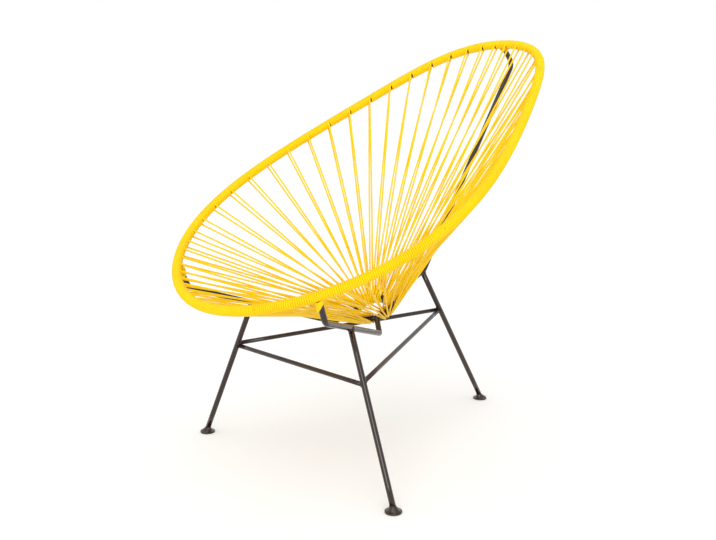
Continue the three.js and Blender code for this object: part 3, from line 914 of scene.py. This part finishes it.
class CHAIR_OT_feet(bpy.types.Operator):
    """Feet: a round disc with a weld collar under each leg"""

    bl_idname = "chair.feet"
    bl_label = "Feet"

    def execute(self, context):
        points = frame_points()
        both_sides(
            "front_foot_disc",
            lambda turn: foot_surface(turn(FRONT_DISC), turn(points["front_leg"])),
            "dark_powder_coat",
            ["front_foot"],
        )
        rear = foot_surface(REAR_DISC, points["rear_leg"])
        piece("rear_foot_disc", rear, "dark_powder_coat", ["rear_foot"])
        return {"FINISHED"}


def weld_seam(end, away, radius, carrier_axis, carrier_radius):
    """Closed line where a rod's surface meets a round carrier whose axis runs through the rod's
    end, and the way out from the rod's middle: round the rod by v, the point is
    end + radius * out + t * away, where out is cos v * across + sin v * level, and t puts the point
    on the carrier."""
    away = unit(away)
    axis = unit(carrier_axis)
    across = squared(np.cross(axis, away), away)
    level = np.cross(away, across)
    turn = np.linspace(0, 2 * np.pi, SEAM_STEPS, endpoint=False)[:, None]
    outward = np.cos(turn) * across + np.sin(turn) * level
    start = radius * (outward - dot(outward, axis) * axis)
    step = away - (away @ axis) * axis
    a = step @ step
    b = dot(start, step)
    c = dot(start, start) - carrier_radius**2
    t = (-b + np.sqrt(np.maximum(b * b - a * c, 0))) / a
    return end + radius * outward + t * away, outward


def weld_bead(end, away, radius, carrier_axis, carrier_radius):
    """Bead along a weld seam: a round section whose radius ripples along the seam."""
    path, outward = weld_seam(end, away, radius, carrier_axis, carrier_radius)
    turn = np.linspace(0, 2 * np.pi, SEAM_STEPS, endpoint=False)
    radii = sizes().bead * (1 + BEAD_RIPPLE * np.sin(BEAD_WAVES * turn))
    return swept(path, outward, radii, BEAD_SIDES, closed=True)


class CHAIR_OT_welds(bpy.types.Operator):
    """Weld beads where rods meet"""

    bl_idname = "chair.welds"
    bl_label = "Weld beads"

    def execute(self, context):
        points = frame_points()
        rod = sizes().frame_rod / 2
        brace = sizes().brace_rod / 2
        ring = sizes().ring_rod / 2
        bracket, spine = points["bracket"], points["spine"]
        foot, leg_top = points["front_leg"]
        rear_foot, rear_top = points["rear_leg"]
        front_end = points["front_brace"][0]
        side_end, rear_end = points["side_brace"]
        ring_way = ring_frames(np.array([RISER_ANGLE]))[2][0]
        leg_way = leg_top - foot
        rear_way = rear_top - rear_foot
        brace_way = rear_end - side_end
        seams = {
            "riser_weld": (bracket[3], bracket[2] - bracket[3], rod, ring_way, ring),
            "leg_weld": (leg_top, -leg_way, rod, bracket[2] - bracket[1], rod),
            "front_brace_weld": (front_end, -SIDEWAYS, brace, leg_way, rod),
            "side_brace_weld": (side_end, brace_way, brace, leg_way, rod),
            "rear_brace_weld": (rear_end, -brace_way, brace, rear_way, rod),
        }
        for name, (end, away, radius, axis, carrier_radius) in seams.items():
            both_sides(
                name,
                lambda turn: weld_bead(turn(end), turn(away), radius, turn(axis), carrier_radius),
                "painted_weld",
            )
        hip_bead = weld_bead(rear_top, -rear_way, rod, spine[3] - spine[2], rod)
        piece("hip_weld", hip_bead, "painted_weld")
        return {"FINISHED"}


def pair_spacing():
    """Lengths of the pairs and of their mirrored neighbours past both ends, and the pitch of the
    winding before each pair: the widest up to the winding pitch that makes a whole number of turns
    from pair to pair."""
    lengths = pair_places()[0]
    centres = np.concatenate([[-lengths[0]], lengths, [2 * HALF_RIM - lengths[-1]]])
    gaps = np.diff(centres)
    return centres, gaps / np.ceil(gaps / sizes().wrap_pitch)


def winding(pair, start, end, way):
    """Winding on the rim before a pair, from one length to another. At turn f and length s the
    cord is at rim(s) + r * (cos f * inward + sin f * up); f falls by a whole turn in each pitch of
    travel, from the rim's underside after one pair to its top before the next."""
    centres, pitches = pair_spacing()
    pitch = pitches[pair]
    left_at_bottom = centres[pair] + pitch / 4 if way > 0 else centres[pair + 1] - pitch / 4
    samples = int(np.ceil(abs(end - start) / pitch * sizes().turn_steps)) + 1
    lengths = np.linspace(start, end, samples)
    turn = -np.pi / 2 - 2 * np.pi * abs(lengths - left_at_bottom) / pitch
    point, _, inward, up = rim_stations(lengths)
    out = np.cos(turn)[:, None] * inward + np.sin(turn)[:, None] * up
    return point + (sizes().hoop_rod + sizes().cord) / 2 * out, out


def strands(pair, leaves, returns):
    """Strands of a pair: from the rim's top to the ring's underside, round the ring's inner side,
    and from the ring's top back to the rim's underside, so that the two cross half way, each bowed
    aside by a sine. On the loop the point is ring + r * (-cos b * out + sin b * up), where b goes
    from minus a quarter turn to a quarter turn; for every second pair r grows where the
    neighbouring loops stand closer than a cord's width."""
    cord = sizes().cord
    lengths, angles, steps, _ = pair_places()
    rim, rim_along, _, _ = (rows[0] for rows in rim_stations(lengths[pair : pair + 1]))
    ring, _, along = (rows[0] for rows in ring_frames(angles[pair : pair + 1]))
    heading = unit(rim - ring)
    out = squared(heading, along)
    up = np.cross(out, along)
    b = np.linspace(-np.pi / 2, np.pi / 2, LOOP_STEPS)[:, None]
    arm = np.sin(b) * up - np.cos(b) * out
    reach = (sizes().ring_rod + cord) / 2
    place = ring + reach * arm - RING_CENTRE
    from_axis = np.linalg.norm(place - dot(place, RING_AXIS) * RING_AXIS, axis=-1, keepdims=True)
    leaning = 1 + (heading @ out - 1) * abs(np.sin(b))
    spacing = steps[pair] * from_axis * leaning
    lift = (pair % 2) * np.sqrt(np.maximum(0, (LOOP_LIFT * cord) ** 2 - spacing**2))
    lean = np.sign(leaves - returns)
    loop = ring + (reach + lift) * arm - lean * cord / 4 * np.sin(b) * along
    on_rim = (sizes().hoop_rod + cord) / 2
    top, _, _, top_up = (rows[0] for rows in rim_stations(np.array([leaves])))
    bottom, _, _, bottom_up = (rows[0] for rows in rim_stations(np.array([returns])))
    share = np.linspace(0, 1, STRAND_STEPS, endpoint=False)[:, None]
    aside = lean * STRAND_BOW * cord * np.sin(np.pi * share) * rim_along
    over = (top + on_rim * top_up) * (1 - share) + loop[0] * share + aside
    under = (bottom - on_rim * bottom_up) * (1 - share) + loop[-1] * share - aside
    twist = lean * np.sin(np.pi * share) * (rim_along * (1 - share) + along * share)
    over_out = np.cos(np.pi * share) * (top_up * (1 - share) + up * share) + twist
    under_out = -np.cos(np.pi * share) * (bottom_up * (1 - share) + up * share) - twist
    path = np.concatenate([over, loop, under[::-1]])
    return path, unit(np.concatenate([over_out, arm, under_out[::-1]]))


def cord_surface(first, count, way, turn):
    """One group's cord as a single rod: windings and strand pairs in turn, along the rim from its
    front tip for way 1 and towards it for way -1, so that the twin of a mirrored group is wound the
    same way round as its neighbours. The strands are slimmer, being pulled tight."""
    borders = pair_places()[3]
    centres, pitches = pair_spacing()
    begin, finish = (borders[first] + GROUP_GAP / 2, borders[first + count] - GROUP_GAP / 2)[::way]
    runs = []
    for pair in range(first, first + count)[::way]:
        centre = centres[pair + 1]
        leaves, returns = (centre - pitches[pair] / 4, centre + pitches[pair + 1] / 4)[::way]
        runs.append((*winding(pair if way > 0 else pair + 1, begin, leaves, way), 1.0))
        path, out = strands(pair, leaves, returns)
        runs.append((path[1:-1], out[1:-1], STRETCHED))
        begin = returns
    last = first + count if way > 0 else first
    runs.append((*winding(last, begin, finish, way), 1.0))
    path = np.concatenate([places for places, _, _ in runs])
    out = np.concatenate([outs for _, outs, _ in runs])
    widths = np.concatenate([np.full(len(places), width) for places, _, width in runs])
    return swept(turn(path), turn(out), sizes().cord / 2 * widths, sizes().cord_sides)


class CHAIR_OT_cords(bpy.types.Operator):
    """Seat cords: the winding on the rim and the strands to the ring, group by group"""

    bl_idname = "chair.cords"
    bl_label = "Seat cords"

    def execute(self, context):
        first = 0
        for number, count in enumerate(GROUP_COUNTS, 1):
            for side, way, turn in (("left", 1, unchanged), ("right", -1, mirrored)):
                surface = cord_surface(first, count, way, turn)
                name = f"{side}_seat_cord_{number}"
                piece(f"{name}_strung", surface, "yellow_plastic_cord", [name])
            first += count
        return {"FINISHED"}


def wrap_surface(start, towards, fan_towards, turns, close, turn):
    """Cord wound round a stub: at turn f the cord is at
    start + climb * axis + r * (cos f * across + sin f * third). Along across each turn lies beside
    the one before it; on the other side its climb falls back to close times that, so that the turns
    fan out from there."""
    cord = sizes().cord
    axis = unit(towards - start)
    across = squared(fan_towards, axis)
    third = np.cross(axis, across)
    radius = (sizes().frame_rod + cord) / 2
    done = np.linspace(0, turns, turns * sizes().turn_steps + 1)[:, None]
    angle = np.pi + 2 * np.pi * done
    edge = (sizes().hoop_rod + cord) / 2
    spread = cord * (0.5 + WRAP_STEP * done)
    climb = edge + spread * (close + (1 - close) * (1 + np.cos(angle)) / 2)
    out = np.cos(angle) * across + np.sin(angle) * third
    path = start + climb * axis + radius * out
    return swept(turn(path), turn(out), cord / 2, sizes().cord_sides)


class CHAIR_OT_wraps(bpy.types.Operator):
    """Stub wraps: cord wound round the stubs under the rim"""

    bl_idname = "chair.wraps"
    bl_label = "Stub wraps"

    def execute(self, context):
        points = frame_points()
        bracket, spine = points["bracket"], points["spine"]
        back = -rim_stations(np.array([BRACKET_LENGTH]))[1][0]
        both_sides(
            "stub_wrap_cord",
            lambda turn: wrap_surface(
                bracket[0], bracket[1], back, BRACKET_WRAP_TURNS, BRACKET_WRAP_CLOSE, turn
            ),
            "yellow_plastic_cord",
            ["stub_wrap"],
        )
        surface = wrap_surface(
            spine[0], spine[1], -SIDEWAYS, SPINE_WRAP_TURNS, SPINE_WRAP_CLOSE, unchanged
        )
        piece("spine_stub_wrap_cord", surface, "yellow_plastic_cord", ["spine_stub_wrap"])
        return {"FINISHED"}


# Stage


def flat_sheet(name, half, height, material):
    """A level square of one face."""
    corners = half * np.array([[-1, -1, 0], [1, -1, 0], [1, 1, 0], [-1, 1, 0]]) + height * UP
    return new_mesh(name, corners, [[0, 1, 2, 3]], [False], corners[:, :2], material)


def floor_material():
    """Studio floor: pale and matt, with a little light of its own for the camera and reflections,
    which lifts it to white and leaves the chair's shadow."""
    material = bpy.data.materials.new("studio_floor")
    shader = Shader(material)
    matt = shader.add("ShaderNodeBsdfDiffuse", None, {"Color": with_alpha(colours().floor)})
    strength = shader.seen() * FLOOR_GLOW
    glow = shader.add("ShaderNodeEmission", None, {"Color": WHITE, "Strength": strength})
    both = shader.add("ShaderNodeAddShader", None, {0: matt.outputs[0], 1: glow.outputs[0]})
    shader.add("ShaderNodeOutputMaterial", None, {"Surface": both.outputs[0]})
    return material


def studio_world():
    """White for the camera and in reflections, and a plain pale light for the rest."""
    world = bpy.data.worlds.new("studio")
    shader = Shader(world)
    seen = shader.seen()
    strength = seen + (1 - seen) * AMBIENT
    light = shader.add("ShaderNodeBackground", None, {"Color": WHITE, "Strength": strength})
    shader.add("ShaderNodeOutputWorld", None, {"Surface": light.outputs[0]})
    return world


def soft_lamp(name, place, spread, power):
    """A far lamp that lights the whole floor alike, shining from a place to the origin, as wide as
    the angle spread."""
    data = bpy.data.lights.new(name, "SUN")
    data.angle = np.radians(spread)
    data.energy = power
    lamp = bpy.data.objects.new(name, data)
    lamp.location = place
    lamp.rotation_euler = (-Vector(place)).to_track_quat("-Z", "Y").to_euler()
    bpy.context.scene.collection.objects.link(lamp)
    return lamp


class CHAIR_OT_stage(bpy.types.Operator):
    """Stage: a pale floor, soft lamps, a white surround and the camera"""

    bl_idname = "chair.stage"
    bl_label = "Studio stage"

    def execute(self, context):
        scene = context.scene
        floor = flat_sheet("studio_floor", FLOOR_HALF, FLOOR_HEIGHT, floor_material())
        lamps = [soft_lamp(name, *recipe) for name, recipe in LAMPS.items()]
        scene.world = studio_world()
        scene.view_settings.view_transform = "Standard"
        data = bpy.data.cameras.new("photo_camera")
        data.sensor_width = SENSOR_WIDTH
        data.lens = SENSOR_WIDTH * CAMERA_FOCAL / PHOTO_WIDTH
        data.shift_x = (PHOTO_WIDTH / 2 - PRINCIPAL_POINT[0]) / PHOTO_WIDTH
        data.shift_y = (PRINCIPAL_POINT[1] - PHOTO_HEIGHT / 2) / PHOTO_WIDTH
        camera = bpy.data.objects.new("photo_camera", data)
        camera.location = (CAMERA_PLACE[0], CAMERA_PLACE[1] + BACK_SHIFT, CAMERA_PLACE[2])
        camera.rotation_euler = (np.radians(90 - CAMERA_PITCH), 0.0, np.radians(CAMERA_AZIMUTH))
        scene.collection.objects.link(camera)
        scene.camera = camera
        return {"FINISHED"}


# Panel, register and main

OPERATORS = (
    CHAIR_OT_stage,
    CHAIR_OT_rim,
    CHAIR_OT_ring,
    CHAIR_OT_brackets,
    CHAIR_OT_spine,
    CHAIR_OT_legs,
    CHAIR_OT_braces,
    CHAIR_OT_feet,
    CHAIR_OT_welds,
    CHAIR_OT_cords,
    CHAIR_OT_wraps,
)


class CHAIR_PT_panel(bpy.types.Panel):
    """Sizes, colours and pieces of the chair"""

    bl_idname = "CHAIR_PT_panel"
    bl_label = "Cord chair"
    bl_space_type = "VIEW_3D"
    bl_region_type = "UI"
    bl_category = "Chair"

    def draw(self, context):
        for group in (context.scene.chair_sizes, context.scene.chair_colours):
            column = self.layout.column()
            for name in group.__annotations__:
                column.prop(group, name)
        for operator in OPERATORS:
            self.layout.operator(operator.bl_idname)


CLASSES = (ChairSizes, ChairColours, *OPERATORS, CHAIR_PT_panel)


def register():
    for cls in CLASSES:
        bpy.utils.register_class(cls)
    bpy.types.Scene.chair_sizes = PointerProperty(type=ChairSizes)
    bpy.types.Scene.chair_colours = PointerProperty(type=ChairColours)


def unregister():
    del bpy.types.Scene.chair_colours
    del bpy.types.Scene.chair_sizes
    for cls in reversed(CLASSES):
        bpy.utils.unregister_class(cls)


def main():
    register()
    bpy.ops.chair.stage()
    bpy.ops.chair.rim()
    bpy.ops.chair.ring()
    bpy.ops.chair.brackets()
    bpy.ops.chair.spine()
    bpy.ops.chair.legs()
    bpy.ops.chair.braces()
    bpy.ops.chair.feet()
    bpy.ops.chair.welds()
    bpy.ops.chair.cords()
    bpy.ops.chair.wraps()


if __name__ == "__main__":
    main()
